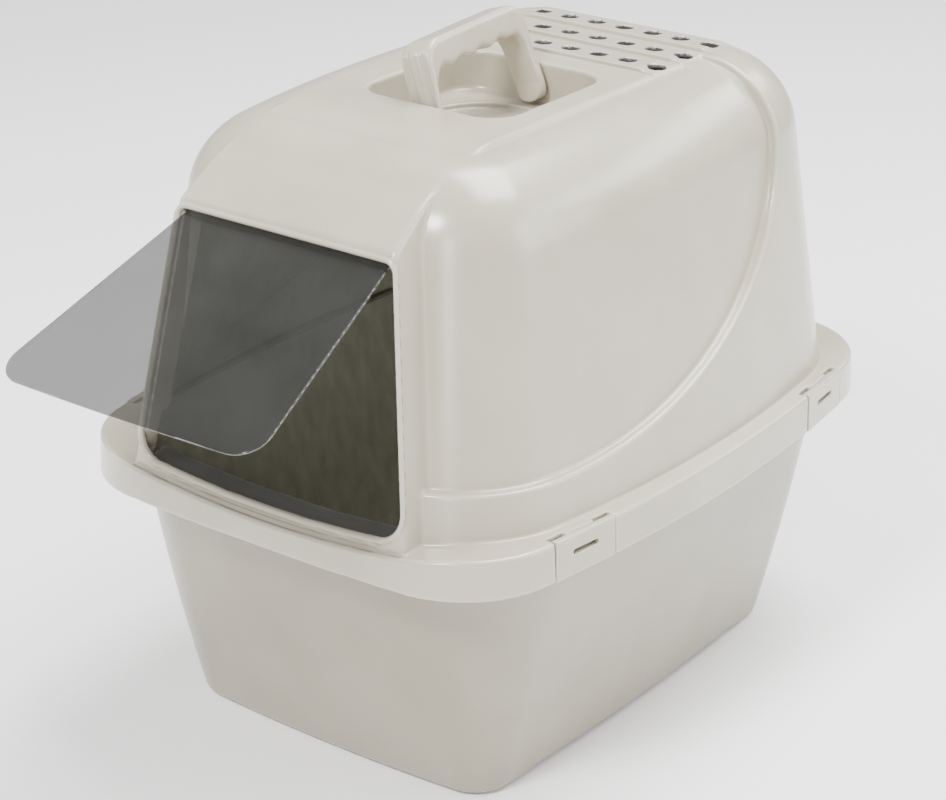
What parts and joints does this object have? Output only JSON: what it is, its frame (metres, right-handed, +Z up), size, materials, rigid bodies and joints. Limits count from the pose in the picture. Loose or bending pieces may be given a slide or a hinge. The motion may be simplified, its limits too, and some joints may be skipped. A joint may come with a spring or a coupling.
{
  "type": "hooded cat litter box",
  "caption": "Covered cat litter box: tapered pan, lift-off hood with swinging smoke flap door, folding carry handle, side snap latches and a roof vent over a filter.",
  "frame": {"origin": "centre of the pan's underside, on the floor", "axes": "+Z up; -Y out of the doorway; +X to the right-hand side as seen from in front of the doorway"},
  "size_m": [0.389, 0.6073, 0.4637],
  "materials": {
    "hood_plastic": "pearl grey satin gloss moulding",
    "pan_plastic": "warm grey satin moulding",
    "smoke_plastic": "translucent smoke sheet, smooth",
    "cover_plastic": "matt moulding",
    "filter_felt": "carbon-loaded non-woven felt"
  },
  "bodies": {
    "pan": {"litter_pan": "pan_plastic"},
    "hood": {"hood_shell": "hood_plastic"},
    "door": {"entry_door": "smoke_plastic"},
    "handle": {"carry_handle": "hood_plastic"},
    "latch_front_right": {"snap_latch_front_right": "hood_plastic"},
    "latch_rear_right": {"snap_latch_rear_right": "hood_plastic"},
    "latch_front_left": {"snap_latch_front_left": "hood_plastic"},
    "latch_rear_left": {"snap_latch_rear_left": "hood_plastic"},
    "filter": {"filter_cover": "cover_plastic", "filter_pad": "filter_felt"}
  },
  "joints": [
    {"name": "hood_lift", "type": "slide", "parent": "pan", "child": "hood", "axis": [0, 0, 1], "range_m": [0, 0.08]},
    {"name": "door_swing", "type": "hinge", "parent": "hood", "child": "door", "pos_m": [0, -0.2065, 0.3746], "axis": [1, 0, 0], "range_deg": [-35, 125]},
    {"name": "handle_fold", "type": "hinge", "parent": "hood", "child": "handle", "pos_m": [0, 0, 0.412], "axis": [0, 1, 0], "range_deg": [-64, 100]},
    {"name": "latch_front_right_hinge", "type": "hinge", "parent": "hood", "child": "latch_front_right", "pos_m": [0.17985, -0.14431, 0.205], "axis": [-0.1231, -0.9924, 0], "range_deg": [0, 80]},
    {"name": "latch_rear_right_hinge", "type": "hinge", "parent": "hood", "child": "latch_rear_right", "pos_m": [0.17986, 0.14429, 0.205], "axis": [0.1266, -0.992, 0], "range_deg": [0, 80]},
    {"name": "latch_front_left_hinge", "type": "hinge", "parent": "hood", "child": "latch_front_left", "pos_m": [-0.17985, -0.14431, 0.205], "axis": [-0.1231, 0.9924, 0], "range_deg": [0, 80]},
    {"name": "latch_rear_left_hinge", "type": "hinge", "parent": "hood", "child": "latch_rear_left", "pos_m": [-0.17986, 0.14429, 0.205], "axis": [0.1266, 0.992, 0], "range_deg": [0, 80]},
    {"name": "filter_cover_hinge", "type": "hinge", "parent": "hood", "child": "filter", "pos_m": [0, 0.0785, 0.4105], "axis": [-1, 0, 0], "range_deg": [0, 75]}
  ]
}
